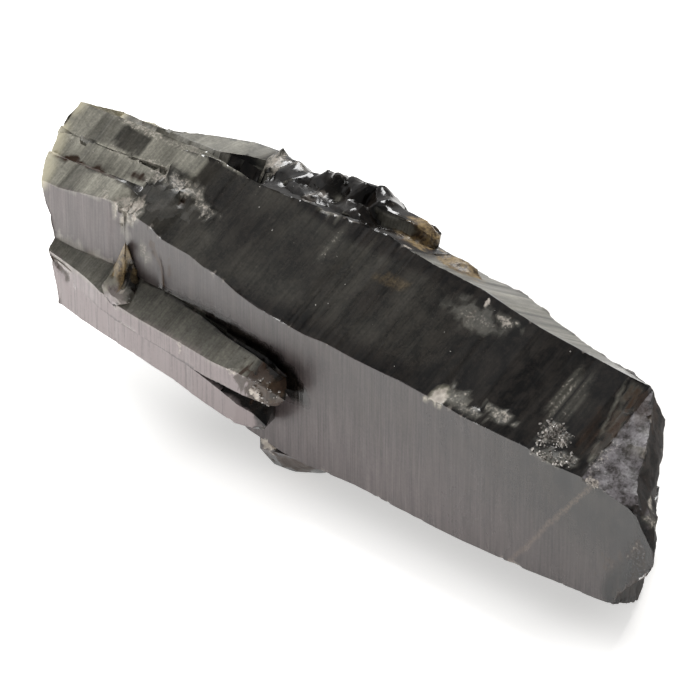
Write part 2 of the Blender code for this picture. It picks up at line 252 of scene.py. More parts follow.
def divided_stone(lines):
    """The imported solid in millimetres, its loose triangles joined and finely divided."""
    bm = bmesh.new()
    bm.from_mesh(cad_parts[STONE].data)
    for vertex in bm.verts:
        vertex.co = vertex.co / MM + Vector(REST_POINT)
    bmesh.ops.remove_doubles(bm, verts=bm.verts, dist=0.001)
    round_the_rim(bm)
    slice_faces(bm, bm.faces[:], 0, lines)
    slice_faces(bm, bm.faces[:], 1, spaced(*CUTS_IN_DEPTH))
    slice_faces(bm, bm.faces[:], 2, spaced(*CUTS_IN_HEIGHT))
    bmesh.ops.remove_doubles(bm, verts=bm.verts, dist=0.01)
    bmesh.ops.dissolve_degenerate(bm, edges=bm.edges, dist=0.01)
    bmesh.ops.triangulate(bm, faces=[f for f in bm.faces if len(f.verts) > 4])
    ease_the_front(bm)
    round_the_lumps(bm)
    bm.normal_update()
    for part in (bm.verts, bm.edges, bm.faces):
        part.index_update()
        part.ensure_lookup_table()
    return bm


class Surface:
    """The divided stone's vertices as arrays, before anything is carved."""

    def __init__(self, bm):
        self.point = np.array([v.co for v in bm.verts])
        self.normal = np.array([v.normal for v in bm.verts])
        edges = [e for e in bm.edges if len(e.link_faces) == 2]
        sharp = [e for e in edges if e.calc_face_angle() > math.radians(22)]
        self.edge_distance = self.distance_to(bm, sharp)
        self.ridge_distance = self.distance_to(bm, [e for e in sharp if self.on_ridge(e)])
        self.rim_distance = self.distance_to(bm, [e for e in sharp if self.on_rim(e)])
        skin = BVHTree.FromBMesh(bm)
        self.thickness = np.array([self.depth(skin, v) for v in bm.verts])

        # Which of the long crystal's faces a point is on, from 0 to 1.
        back, up = self.normal[:, 1], self.normal[:, 2]
        by_tip = smooth_step(97.0, 100.0, self.point[:, 0])
        self.front = np.maximum(smooth_step(-0.7, -0.9, back), smooth_step(-0.3, -0.6, back) * by_tip)
        self.upper_front = smooth_step(0.35, 0.6, up) * smooth_step(0.1, -0.25, back)
        self.upper_back = smooth_step(0.3, 0.45, back) * smooth_step(0.6, 0.8, up)

    @staticmethod
    def on_ridge(edge):
        """The long upper ridge, between the upper front face and the upper back face."""
        slopes = sorted(face.normal.y for face in edge.link_faces)
        up = min(face.normal.z for face in edge.link_faces)
        return slopes[0] < -0.3 and slopes[1] > 0.3 and up > 0.7 and edge.verts[0].co.y < 18

    @staticmethod
    def on_rim(edge):
        """The upper rim of the broken root end."""
        normals = [face.normal for face in edge.link_faces]
        broken = max(n.dot(ROOT_BREAK) for n in normals)
        return broken > 0.62 and max(n.z for n in normals) > 0.6 and edge.verts[0].co.x < 0

    @staticmethod
    def distance_to(bm, edges):
        """Each vertex's distance to the nearest of the edges' ends."""
        tree = KDTree(2 * len(edges))
        for edge in edges:
            for vertex in edge.verts:
                tree.insert(vertex.co, vertex.index)
        tree.balance()
        return np.array([tree.find(v.co)[2] for v in bm.verts])

    @staticmethod
    def depth(skin, vertex):
        """How far it is through the stone, straight in from a point of its surface."""
        start = vertex.co - vertex.normal * 0.05
        hit = skin.ray_cast(start, -vertex.normal)
        # Where the ray slips out between two faces, the stone counts as thick.
        return hit[3] if hit[3] is not None else 50.0


# What is grown, broken or marked, by place on the stone. All sizes are millimetres.

# Bands of different sheen across the stepped root end: from x, to x, how hazy.
UPPER_STEP_BANDS = [
    (-9.0, -2.2, 0.88),
    (-2.2, 0.2, 0.40),
    (0.2, 2.2, 0.56),
    (2.2, 7.6, 0.09),
    (7.6, 8.3, 0.90),
    (8.3, 12.6, 0.66),
    (12.6, 15.0, 0.76),
    (15.0, 18.8, 0.74),
]
MIDDLE_STEP_BANDS = [(-9.0, 2.0, 0.84), (2.0, 5.4, 0.66), (5.4, 12.0, 0.78)]
LOWER_STEP_BANDS = [(-9.0, 0.6, 0.78), (0.6, 3.6, 0.42), (3.6, 5.4, 0.62), (5.4, 12.6, 0.92)]

# Paler growth lines on the dark upper face: x, half width, from y, to y, how strong.
PALE_LINES = [
    (40.9, 0.50, 7.6, 14.6, 0.24),
    (42.6, 0.25, 9.0, 13.0, 0.08),
    (46.0, 0.30, 11.0, 15.0, 0.12),
    (84.9, 0.34, 4.0, 12.0, 0.34),
    (85.8, 0.34, 3.2, 11.0, 0.44),
    (87.2, 0.34, 3.0, 12.0, 0.40),
    (88.0, 0.30, 4.0, 10.0, 0.26),
    (89.4, 0.30, 5.0, 9.0, 0.14),
]

# Marks: centre, half sizes, and what they do. Pale, cream, brown, haze (in places painted light), rough, amber
# and druse are amounts from 0 to 1, and sink is a depth.
MARKS = {
    "contact scar": ((13.5, 0.9, 23.7), (2.3, 1.8, 2.0), dict(pale=0.5, haze_and_painted_light=0.95, rough=1.0, sink=0.3)),
    "scar's end": ((14.2, -0.1, 22.8), (0.8, 0.8, 1.3), dict(pale=0.3, haze_and_painted_light=0.8, rough=1.0, sink=0.1)),
    "cream chips": ((9.6, 0.3, 24.4), (1.6, 0.6, 0.6), dict(pale=0.4, rough=0.5)),
    "rough patch": ((17.0, 3.6, 24.8), (4.2, 2.2, 2.2), dict(brown=0.2, haze_and_painted_light=0.12, rough=0.6, sink=0.1)),
    "brown block": ((10.0, 6.1, 24.8), (1.7, 0.9, 0.8), dict(brown=0.6, rough=0.5)),
    "near sparkle": ((13.4, 6.7, 26.2), (3.6, 1.3, 1.3), dict(haze_and_painted_light=0.5, pale=0.34, rough=0.9, sink=0.2)),
    "middle sparkle": ((18.4, 6.5, 26.3), (3.6, 1.3, 1.3), dict(haze_and_painted_light=0.45, pale=0.34, rough=0.9, sink=0.2)),
    "far sparkle": ((23.0, 5.6, 25.4), (2.8, 0.9, 0.9), dict(haze_and_painted_light=0.3, pale=0.32, rough=0.9, sink=0.15)),
    "slit": ((19.2, 5.0, 25.4), (0.8, 0.25, 0.7), dict(brown=0.6, sink=0.9)),
    # Painted light: the wall at the end of the lower step is painted pale over the shade it stands in.
    "front of the step": ((13.6, 0.2, 21.4), (0.8, 0.9, 3.0), dict(haze_and_painted_light=0.34)),
    "amber spot": ((53.1, 10.0, 24.4), (3.0, 1.4, 0.8), dict(amber=0.22)),
    "small amber spot": ((50.2, 9.6, 24.4), (1.2, 0.7, 0.6), dict(amber=0.14)),
    "pale cloud": ((66.4, 10.8, 24.8), (4.8, 2.2, 1.3), dict(haze_and_painted_light=0.22, brown=0.12, rough=0.5)),
    "mid cloud": ((66.8, 10.6, 24.4), (3.2, 1.4, 1.0), dict(haze_and_painted_light=0.26, pale=0.22, brown=0.3, rough=0.6)),
    "pale cloud's end": ((71.4, 11.9, 25.1), (1.8, 0.7, 0.6), dict(haze_and_painted_light=0.3, pale=0.4, rough=0.5)),
    "white chip in the cloud": ((67.0, 13.0, 26.0), (0.5, 0.6, 0.6), dict(pale=0.8, rough=0.5)),
    "cream druse": ((70.2, 0.9, 18.9), (1.6, 1.2, 1.0), dict(pale=0.6, cream=0.3, haze_and_painted_light=0.6, rough=0.8)),
    "haze by the cream druse": ((72.6, 1.6, 19.2), (2.6, 1.2, 1.0), dict(haze_and_painted_light=0.4, pale=0.24, rough=0.7)),
    "grey druse": ((79.4, 1.9, 19.4), (2.8, 1.1, 0.9), dict(haze_and_painted_light=0.4, pale=0.36, rough=0.8)),
    "chips between them": ((75.6, 0.9, 18.9), (2.6, 0.7, 0.7), dict(haze_and_painted_light=0.3, pale=0.28, rough=0.7)),
    "white druse": ((88.0, 2.7, 19.7), (2.0, 1.9, 1.3), dict(haze_and_painted_light=0.34, pale=0.30, rough=0.9, druse=1.0)),
    "speckle": ((90.2, 0.8, 18.2), (3.2, 1.2, 0.9), dict(haze_and_painted_light=0.3, pale=0.24, rough=0.9, druse=0.3)),
    "pale splinters by the tip": ((105.3, 1.8, 14.0), (0.8, 1.4, 2.2), dict(haze_and_painted_light=0.3, pale=0.3, rough=0.5)),
    "dull foot of the lumps": ((31.5, 18.4, 25.6), (6.5, 1.7, 1.6), dict(rough=0.6)),
    "brown top of the chip": ((97.0, 10.2, 23.6), (3.0, 3.2, 3.0), dict(brown=0.5)),
    "brown foot of the tip": ((103.0, -0.1, 6.4), (3.6, 0.8, 3.4), dict(brown=0.5, pale=0.1)),
    "brown zone": ((92.0, 5.4, 21.0), (2.6, 4.6, 2.8), dict(brown=0.34)),
    "chip's brown side": ((94.8, 6.4, 21.4), (1.0, 5.0, 3.4), dict(brown=0.45, haze_and_painted_light=0.1, pale=0.1, rough=0.5)),
    "pink chip": ((37.6, 14.1, 27.3), (1.7, 0.7, 0.5), dict(haze_and_painted_light=0.5, pale=0.25, rough=0.8, sink=0.12)),
    "white chip": ((49.8, 16.2, 26.6), (1.1, 0.9, 0.6), dict(pale=0.7, rough=0.8)),
    "pale seam on the slim crystal": ((28.6, -4.7, 11.0), (0.55, 0.6, 1.5), dict(pale=0.35, rough=0.6)),
    "brown end of the slim crystal": ((42.6, -3.4, 10.4), (3.4, 2.9, 2.8), dict(brown=1.0, rough=0.5)),
    "drusy end of it": ((43.6, -3.6, 10.2), (2.2, 2.2, 1.8), dict(amber=0.12, rough=0.9, druse=0.18)),
    "pale patch on that end": ((42.6, -4.9, 9.9), (1.2, 0.9, 0.8), dict(pale=0.6, rough=0.9)),
    "cream patch": ((38.6, -4.9, 11.5), (1.0, 0.6, 0.6), dict(pale=0.4, rough=0.7)),
    "wedge's foot": ((13.0, -3.5, 13.3), (3.0, 0.9, 0.9), dict(haze_and_painted_light=0.3, pale=0.16, rough=0.6)),
    "top of the slim crystal's root": ((5.0, -1.6, 14.2), (7.0, 2.2, 1.8), dict(haze_and_painted_light=0.5)),
    "wedge": ((15.0, -1.9, 17.0), (2.0, 1.5, 2.6), dict(amber=1.0, rough=0.5)),
    "wedge's point": ((14.8, -1.2, 18.9), (1.2, 1.2, 2.4), dict(amber=1.0, rough=0.5)),
    "wedge's grey side": ((13.7, -3.0, 14.8), (1.3, 1.3, 2.2), dict(haze_and_painted_light=0.85, cream=0.1, rough=0.6)),
    # Painted shade: the wedge's right side is painted brown for the shade that falls on it.
    "wedge's shaded side": ((16.7, -1.4, 16.6), (0.8, 1.1, 1.8), dict(brown=0.95)),
    "wedge's low side": ((16.8, -3.4, 13.6), (2.0, 1.3, 2.4), dict(haze_and_painted_light=0.36, rough=0.6)),
    "white fleck": ((17.1, -3.5, 14.9), (0.7, 0.5, 0.6), dict(pale=1.0, rough=0.8)),
    "rubbed patch by the wedge": ((17.2, 0.0, 18.9), (1.2, 0.4, 1.6), dict(pale=0.24, haze_and_painted_light=0.3, rough=0.6)),
    "back crystal's end": ((20.0, 20.2, 25.0), (1.9, 2.6, 2.2), dict(haze_and_painted_light=0.5, pale=0.42, rough=0.6)),
    "crest of the lumps": ((23.6, 21.8, 26.4), (2.6, 1.0, 0.8), dict(haze_and_painted_light=0.15, pale=0.3, rough=0.3)),
    "amber crystal": ((47.2, 21.9, 25.2), (3.3, 3.4, 3.0), dict(amber=1.0, rough=0.6)),
    "tan facet": ((44.4, 20.1, 25.4), (1.3, 0.6, 0.8), dict(haze_and_painted_light=0.6)),
    "amber crystal's dark foot": ((46.6, 20.4, 24.0), (3.4, 1.5, 1.1), dict(brown=0.95)),
    "olive lump": ((55.8, 19.4, 24.4), (4.4, 2.1, 1.6), dict(amber=0.9, rough=0.85)),
    # Partly painted shade: the underside here is painted dark brown, for its own rough brown and for the shade
    # under the stone.
    "brown foot in shade under the slim crystals": ((43.0, 2.4, -3.4), (5.5, 2.4, 2.2), dict(brown=1.0, rough=0.9)),
    "pink chip on that foot": ((39.6, 0.9, -1.4), (1.1, 1.2, 1.1), dict(pale=0.9, haze_and_painted_light=0.5, rough=0.7)),
    "pink tip": ((105.2, 0.2, 10.0), (1.8, 1.0, 3.4), dict(brown=0.6, pale=0.22, rough=0.8, sink=0.1)),
    "brown lower tip": ((105.0, 0.2, 5.0), (1.0, 1.0, 1.6), dict(brown=0.6, pale=0.16, rough=0.8)),
    "pink edge patch": ((92.2, 0.0, 2.6), (1.6, 0.6, 0.8), dict(brown=0.15, pale=0.1, rough=0.6)),
    "chip's cream border": ((96.2, 3.0, 19.3), (1.0, 3.8, 2.4), dict(pale=0.24, brown=0.2, rough=0.8)),
    "chip's lower border": ((97.4, 0.3, 17.9), (1.6, 0.7, 0.7), dict(pale=0.4, rough=0.9)),
}

# Seams and cracks: from, to, half width, what they do.
SEAMS = [
    # Painted light: the first two paint the riser between the middle and upper steps pale, over the shade it
    # stands in.
    ((-5.2, 7.5, 25.0), (2.7, 7.5, 25.8), 0.60, dict(haze_and_painted_light=0.85, pale=0.1)),
    ((2.7, 7.5, 25.8), (14.0, 7.6, 26.6), 0.70, dict(haze_and_painted_light=0.95, pale=0.24)),
    ((-5.6, 3.6, 24.0), (-1.3, 4.2, 23.9), 0.95, dict(brown=1.0, sink=0.3)),
    ((-1.3, 4.2, 23.9), (4.2, 4.1, 24.3), 0.95, dict(brown=1.0, sink=0.2)),
    ((4.2, 4.1, 24.3), (8.0, 3.9, 24.8), 0.95, dict(brown=0.95, sink=0.1)),
    ((8.0, 3.6, 24.9), (12.0, 3.4, 25.2), 1.0, dict(brown=0.85)),
    # Painted light: a pale line over the riser's dark line of shade, then a pale line along its top.
    ((-5.0, 7.5, 26.1), (2.0, 7.5, 26.1), 0.50, dict(haze_and_painted_light=0.7, pale=0.16)),
    ((8.0, 7.7, 26.2), (12.7, 8.1, 26.6), 0.60, dict(haze_and_painted_light=0.8, pale=0.30)),
    ((-6.6, 10.9, 27.9), (1.0, 11.4, 28.2), 0.40, dict(haze_and_painted_light=0.75, pale=0.2)),
    ((0.0, 11.4, 28.2), (8.0, 11.3, 28.3), 0.50, dict(haze_and_painted_light=0.9, pale=0.34)),
    ((8.0, 11.3, 28.3), (24.0, 11.9, 28.5), 0.45, dict(haze_and_painted_light=0.75, pale=0.26)),
    ((1.8, -2.3, 12.5), (5.0, -2.6, 11.0), 0.50, dict(brown=1.0, sink=0.5, rough=0.6)),
    ((103.2, 4.4, 16.4), (105.0, 1.6, 14.8), 0.50, dict(haze_and_painted_light=0.4, pale=0.5)),
    ((104.4, 3.0, 15.2), (105.8, 0.8, 12.8), 0.45, dict(haze_and_painted_light=0.4, pale=0.5)),
    ((91.2, 12.2, 24.8), (93.2, 6.4, 21.5), 0.35, dict(haze_and_painted_light=0.34, brown=0.2)),
    ((92.4, 12.2, 24.8), (94.2, 6.4, 21.5), 0.40, dict(haze_and_painted_light=0.3, brown=0.6)),
    ((93.2, 6.4, 21.5), (95.0, 2.3, 19.2), 0.50, dict(haze_and_painted_light=0.4, brown=0.3)),
    ((93.7, 11.8, 24.6), (95.3, 6.0, 21.3), 0.45, dict(haze_and_painted_light=0.2, brown=0.8)),
    ((18.3, 0.0, 20.8), (20.2, 0.0, 18.0), 0.40, dict(brown=1.0, sink=0.4)),
    ((20.2, 0.0, 18.0), (20.6, 0.0, 15.4), 0.40, dict(brown=1.0, sink=0.4)),
    ((21.6, 0.0, 19.8), (22.0, 0.0, 16.6), 0.35, dict(brown=0.9, sink=0.3)),
]

# The healed crack is a plane through the stone. It crosses the front face from here to there.
CRACK_FROM = np.array((98.0, 0.0, 18.6))
CRACK_TO = np.array((83.4, 0.0, 0.2))
CRACK_SIDEWAYS = np.cross((0.0, 1.0, 0.0), CRACK_TO - CRACK_FROM)
CRACK_SIDEWAYS /= np.linalg.norm(CRACK_SIDEWAYS)
# The plane waves by this much from side to side.
CRACK_WAVE = 1.6

# The upper border of the painted shade above the slim crystal, where the front face stays black in the gap
# between them: x, z.
PAINTED_SHADE_BORDER = [
    (18.0, 13.6), (20.0, 15.0), (24.0, 15.3), (32.0, 15.1),
    (38.0, 14.3), (42.0, 13.6), (45.0, 12.6), (48.0, 9.6),
]


def patch(surface, centre, half_sizes, seed):
    """A ragged patch, 1 inside and 0 outside."""
    offset = (surface.point - np.array(centre)) / np.array(half_sizes)
    distance = np.linalg.norm(offset, axis=1)
    near = distance < 2.2
    mask = np.zeros(len(distance))
    points = surface.point[near]
    ragged = 0.28 * layered_noise(points, 1.6, seed)
    mask[near] = 1 - smooth_step(0.72, 1.12, distance[near] + ragged)
    return mask


def seam(surface, start, end, half_width, seed):
    """A thin mark along a line, 1 on it and 0 outside, of uneven width."""
    start, end = np.array(start), np.array(end)
    along = end - start
    part = np.clip((surface.point - start) @ along / (along @ along), 0, 1)
    distance = np.linalg.norm(surface.point - start - part[:, None] * along, axis=1) / half_width
    return 1 - smooth_step(0.5, 1.2, distance + 0.35 * wave_noise(surface.point, 2.2, seed))


def band_value(x, bands, blur=0.12):
    """The haze of a row of bands at each x, with narrow soft borders."""
    value = np.zeros(len(x))
    for low, high, haze_and_painted_light in bands:
        value += haze_and_painted_light * within(x, low - blur, low + blur, high - blur, high + blur)
    return value


def mark_the_upper_face(marks, surface):
    """The stepped root end, and the dark upper face, veiled at first and blackest by the tip."""
    x, y, z = surface.point.T
    shelves = surface.upper_front * smooth_step(19.0, 21.0, z)
    wander = 0.25 * wave_noise(surface.point, 5.0, 91)
    steps = [
        (UPPER_STEP_BANDS, smooth_step(7.3, 7.8, y) * smooth_step(19.2, 18.6, x)),
        (MIDDLE_STEP_BANDS, within(y, 3.5, 3.9, 7.4, 7.8) * smooth_step(12.2, 11.6, x)),
        (LOWER_STEP_BANDS, smooth_step(3.7, 3.3, y) * smooth_step(13.2, 12.4, x)),
    ]
    for bands, on_step in steps:
        marks["haze_and_painted_light"] += shelves * on_step * band_value(x + wander, bands)
    for at, half_width, low, high, strength in PALE_LINES:
        line = np.exp(-(((x - at) / half_width) ** 2)) * within(y, low, low + 2, high - 2, high)
        marks["haze_and_painted_light"] += 0.7 * strength * line * shelves
        marks["pale"] += 0.7 * strength * line * shelves

    # Up to the ridge a thin veil with a few pale grains lies over the black.
    before_ridge = shelves * smooth_step(13.0, 12.2, y)
    veil = 0.07 * smooth_step(76.0, 50.0, x) * (1 + 0.5 * wave_noise(surface.point, 6.0, 71))
    marks["haze_and_painted_light"] += veil * before_ridge
    marks["pale"] += 0.06 * before_ridge * smooth_step(84.0, 70.0, x)


def mark_the_front(marks, surface):
    """The front faces' pale film, partly painted sheen, palest at the root end and on the slim crystals beside
    it, with painted shade above the slim crystal and painted light on the step walls.
    """
    x, y, z = surface.point.T
    outermost = smooth_step(1.6, 1.0, y)
    low_down = smooth_step(16.0, 1.0, z)
    to_tip = smooth_step(60.0, 105.0, x)
    # The pale film stands partly for the sheen of the front faces: painted sheen, stronger low down and at the
    # root end, weaker towards the tip.
    film_and_painted_sheen = surface.front * outermost * (0.20 + 0.24 * low_down + 0.22 * smooth_step(18.0, 10.0, x))
    film_and_painted_sheen = np.maximum(film_and_painted_sheen - 0.24 * surface.front * to_tip, 0)
    # Painted shade: the film is taken off the front face in the gap above the slim crystal, which stays black.
    border = np.interp(x, *zip(*PAINTED_SHADE_BORDER)) - 0.25 * wave_noise(surface.point, 1.4, 77)
    in_painted_shade = surface.front * smooth_step(0.5, -0.5, z - border) * smooth_step(-0.5, -0.2, y)
    in_painted_shade *= within(x, 18.0, 21.0, 47.2, 48.4) * smooth_step(7.0, 8.6, z)
    big_face = surface.front * outermost * (1 - in_painted_shade) * smooth_step(-1.2, -0.4, y)
    marks["rough"] += 0.45 * big_face * (1 - 0.5 * to_tip)
    on_slim = surface.front * smooth_step(-1.2, -2.2, y) * smooth_step(42.6, 41.2, x)
    marks["film_and_painted_sheen"] = np.maximum(film_and_painted_sheen * (1 - in_painted_shade), (0.93 + 0.2 * low_down) * on_slim)
    # Painted light: the step walls at the root end that face the front, which stand in shade, are painted
    # hazy.
    marks["haze_and_painted_light"] += 0.7 * surface.front * (1 - outermost) * smooth_step(20.0, 22.0, z)

    # The slim crystal's top is grey.
    slim_top = surface.upper_front * smooth_step(19.0, 17.0, z) * smooth_step(1.0, -0.5, y)
    slim_top *= smooth_step(-3.4, -2.4, above_slim_top(y, z)) * smooth_step(42.0, 40.6, x)
    marks["haze_and_painted_light"] += (0.54 + 0.3 * smooth_step(13.0, 10.0, x)) * slim_top

    # The healed crack shows on the front face only.
    across = (surface.point - CRACK_FROM) @ CRACK_SIDEWAYS
    marks["crack"] += surface.front * smooth_step(2.5, 1.2, np.abs(across)) * smooth_step(99.0, 96.0, x)


def mark_the_back(marks, surface):
    """The dull face behind the ridge with hazy streaks, partly painted reflection, clear towards the tip, and
    the thin pale rim, painted cream where light comes through.
    """
    x, y, z = surface.point.T
    marks["rough"] += surface.upper_back * smooth_step(94.0, 80.0, x)
    # Partly painted reflection: the hazy streaks stand for what this face mirrors at a grazing angle, as well
    # as its haze.
    streaks = 1 + 0.5 * wave_noise(surface.point * np.array((1.0, 0.05, 0.05)), 1.3, 83)
    marks["haze_and_painted_light"] += 0.42 * surface.upper_back * streaks * within(x, 50.0, 56.0, 84.0, 94.0)
    level = smooth_step(0.9, 0.97, surface.normal[:, 2])
    dull_places = [
        surface.upper_back * smooth_step(22.0, 20.5, y) * smooth_step(11.0, 8.5, x),
        level * smooth_step(13.0, 14.5, y) * smooth_step(18.0, 16.0, x),
        within(y, 16.5, 17.5, 21.0, 22.0) * smooth_step(21.5, 22.5, z) * smooth_step(10.6, 9.6, x),
    ]
    by_root = np.max(dull_places, axis=0)
    marks["haze_and_painted_light"] += 0.56 * by_root
    marks["rough"] += 0.5 * by_root

    # Light comes through the thin rim of the root end.
    thin_rim = smooth_step(2.3, 0.2, surface.rim_distance + 0.3 * wave_noise(surface.point, 3.0, 61))
    marks["cream"] += 0.7 * thin_rim * smooth_step(17.0, 20.0, z)


def paint_shade_in_the_gap(marks, surface):
    """Painted shade: clear the marks from the gap between the back crystal's end and the ridge, so that it
    stays black.
    """
    x, y, _ = surface.point.T
    far_end = 19.0 + 3.6 * smooth_step(20.0, 19.0, y)
    black = smooth_step(9.8, 10.8, x) * smooth_step(0.6, -0.6, x - far_end)
    black *= within(y, 12.6, 13.4, 20.4, 21.2) * smooth_step(0.96, 0.9, surface.normal[:, 2])
    for effect in ("haze_and_painted_light", "pale", "rough", "brown"):
        marks[effect] *= 1 - black


def add_effects(marks, effects, mask):
    """Put what one patch or seam does into the marks, each as strong as its strongest."""
    for effect, strength in effects.items():
        marks[effect] = np.maximum(marks[effect], strength * mask)


def mark_the_stone(surface):
    """The marks as arrays: what is pale, brown, hazy, rough, amber or drusy, and how deep; some paint in light
    or shade.
    """
    count = len(surface.point)
    names = ("pale", "cream", "brown", "haze_and_painted_light", "film_and_painted_sheen", "rough", "amber", "druse", "crack", "sink")
    marks = {name: np.zeros(count) for name in names}
    mark_the_upper_face(marks, surface)
    mark_the_front(marks, surface)
    mark_the_back(marks, surface)

    scarred = np.zeros(count)
    for k, (centre, half_sizes, effects) in enumerate(MARKS.values()):
        mask = patch(surface, centre, half_sizes, 300 + 7 * k)
        add_effects(marks, effects, mask)
        scarred = np.maximum(scarred, effects.get("rough", 0) * mask)
    marks["scarred"] = np.where(scarred > 0.62, scarred, 0)
    for k, (start, end, half_width, effects) in enumerate(SEAMS):
        add_effects(marks, effects, seam(surface, start, end, half_width, 700 + 5 * k))
    paint_shade_in_the_gap(marks, surface)
    marks["amber"] *= 1 - surface.front * smooth_step(-0.5, -0.2, surface.point[:, 1])
    return marks


def broken_faces(bm):
    """The faces of the old breaks, which have no growth lines."""
    broken = set()
    for face in bm.faces:
        centre = face.calc_center_median()
        normal = face.normal
        at_root = centre.x < 12 and normal.dot(ROOT_BREAK) > 0.62 and centre.dot(ROOT_BREAK) > -8.5
        at_tip = centre.x > 92 and normal.x > 0.5
        in_chip = centre.x > 95.7 and normal.z > 0.3 and centre.z > 17
        off_plane = abs((centre - BACK_BREAK_POINT).dot(BACK_BREAK))
        behind = centre.x > 55 and off_plane < 1.8 and normal.dot(BACK_BREAK) > 0.86
        if at_root or at_tip or in_chip or behind:
            broken.add(face.index)
    return broken


# Carving


def growth_relief(surface, lines, seed):
    """Fine steps across the long axis, a different set on each prism face."""
    rng = np.random.default_rng(seed)
    x = surface.point[:, 0]
    around = np.degrees(np.arctan2(surface.normal[:, 2], surface.normal[:, 1])) % 360
    side = np.round(around / 60).astype(int) % 6
    height = np.zeros(len(x))
    for k in range(6):
        steps = rng.normal(0, 0.018, len(lines))
        run = rng.uniform(size=len(lines))
        steps[run > 0.93] *= 3.0
        profile = np.zeros(len(lines))
        for i in range(1, len(lines)):
            profile[i] = 0.86 * profile[i - 1] + steps[i]
        on_side = side == k
        height[on_side] = np.interp(x[on_side], lines, profile)
    fade = 0.6 + 0.4 * wave_noise(surface.point, 9.0, seed + 1)
    flat_run = 1 - smooth_step(0.25, 0.6, np.abs(surface.normal[:, 0]))
    return height * fade * flat_run


def surface_relief(surface, marks, on_break, lines):
    """How far each point moves outwards: growth steps, rough breaks, scars and lumps."""
    point = surface.point
    x, y, z = point.T
    grown = growth_relief(surface, lines, 5)
    grown += 0.04 * wave_noise(point, 14.0, 21) + 0.008 * wave_noise(point, 3.5, 22)
    rough = 0.10 * layered_noise(point, 5.0, 31) + 0.05 * np.abs(layered_noise(point, 1.6, 35))
    scar = 0.09 * layered_noise(point, 1.9, 41)
    lift = grown * (1 - on_break) * (1 - 0.7 * marks["scarred"])
    lift += rough * on_break
    lift += (scar - marks["sink"]) * np.clip(marks["scarred"] + marks["sink"], 0, 1)

    # The back face falls away behind the ridge at the root end, out of the front's sight.
    gap = within(x, 6.0, 10.0, 20.0, 23.0)
    fade = smooth_step(0.0, 1.0, (y - 16.0 - 4.0 * gap) / (4.5 - 2.5 * gap))
    off_plane = z - (28.45 - PRISM_SLOPE * (y - 11.95))
    near_root = smooth_step(52.0, 46.0, x) * (1 - fade) * smooth_step(1.8, 1.2, off_plane)
    fall = (0.26 + 0.26 * gap) * surface.upper_back * near_root
    lift -= fall * np.minimum(surface.ridge_distance, 8.0)

    # The dark lumps are uneven all over.
    lumps = within(x, 19.5, 21.5, 40.5, 42.5) * smooth_step(16.8, 18.4, y) * smooth_step(20.0, 22.0, z)
    lift += lumps * (0.34 * wave_noise(point, 6.0, 45) - 0.1)
    return lift


def lean_the_wedge(point, moved):
    """Lean the amber wedge back against the front face, and flatten its foot."""
    x, y, z = point.T
    above_top = above_slim_top(y, z)
    beside = (x > 12.0) & (x < 18.6)
    on_wedge = beside & (y < -0.3) & (z > 12.3)
    protrudes = beside & (z > 11.0) & (z < 14.6)
    # What stands out in front of the slim crystal is pushed back, flush with its front.
    slim_front = -3.95 - 0.075 * (x - 13.0)
    moved[:, 1] += np.where(protrudes, np.maximum(slim_front - y, 0), 0)
    flat = on_wedge * smooth_step(-1.7, -2.8, y) * (0.5 + 0.5 * smooth_step(14.0, 15.4, x))
    moved[:, 2] -= 0.92 * flat * np.maximum(above_top, 0)
    # It leans along the line of sight, so that its outline stays.
    sight = np.array((0.612, -0.612, 0.5))
    leaning = on_wedge * smooth_step(0.1, 2.2, above_top) * (1 - flat)
    moved += (leaning * 0.5 * y / sight[0])[:, None] * sight
    moved[:, 0] -= 0.8 * on_wedge * smooth_step(-0.3, 0.4, above_top) * smooth_step(15.2, 16.8, x)


def carve(bm, surface, marks, broken, lines):
    """Move the points of the divided stone, and mark what is worn, broken and thin."""
    on_break = np.zeros(len(surface.point))
    for face in bm.faces:
        if face.index in broken:
            for vertex in face.verts:
                on_break[vertex.index] = 1.0
    point = surface.point
    lift = surface_relief(surface, marks, on_break, lines)
    near_edge = 1 - smooth_step(0.0, 0.6, surface.edge_distance)
    worn = np.clip(wave_noise(point, 1.2, 51) + wave_noise(point, 6.0, 52) - 0.9, 0, 1.2)
    lift -= 0.12 * near_edge * worn * (0.25 + 0.75 * smooth_step(14.0, 24.0, point[:, 0]))
    moved = point + surface.normal * lift[:, None]
    lean_the_wedge(point, moved)
    moved[:, 2] = np.maximum(moved[:, 2], REST_POINT[2])
    for vertex, place in zip(bm.verts, moved):
        vertex.co = place
    marks["wear"] = near_edge * np.clip(worn, 0, 1)
    marks["broken"] = on_break
    veiled = np.clip(marks["haze_and_painted_light"] + marks["amber"] + 1.2 * marks["cream"], 0, 1)
    marks["thin"] = (1 - smooth_step(2.0, 4.5, surface.thickness)) * (1 - 0.9 * veiled)


# Materials


def add_node(tree, kind, inputs=None, **settings):
    """Add one node, set its options, then fill or link its inputs."""
    node = tree.nodes.new(kind)
    for name, value in settings.items():
        setattr(node, name, value)
    for key, value in (inputs or {}).items():
        if isinstance(value, bpy.types.NodeSocket):
            tree.links.new(value, node.inputs[key])
        else:
            node.inputs[key].default_value = value
    return node


def new_material(name):
    """A named material with only its output node, and its tree."""
    material = bpy.data.materials.new(name)
    material.use_nodes = True
    tree = material.node_tree
    tree.nodes.clear()
    return material, tree, add_node(tree, "ShaderNodeOutputMaterial")


# What a millimetre of smoky quartz takes out of the light: red, green, blue.
ABSORPTION_PER_MM = (0.12, 0.26, 0.75)

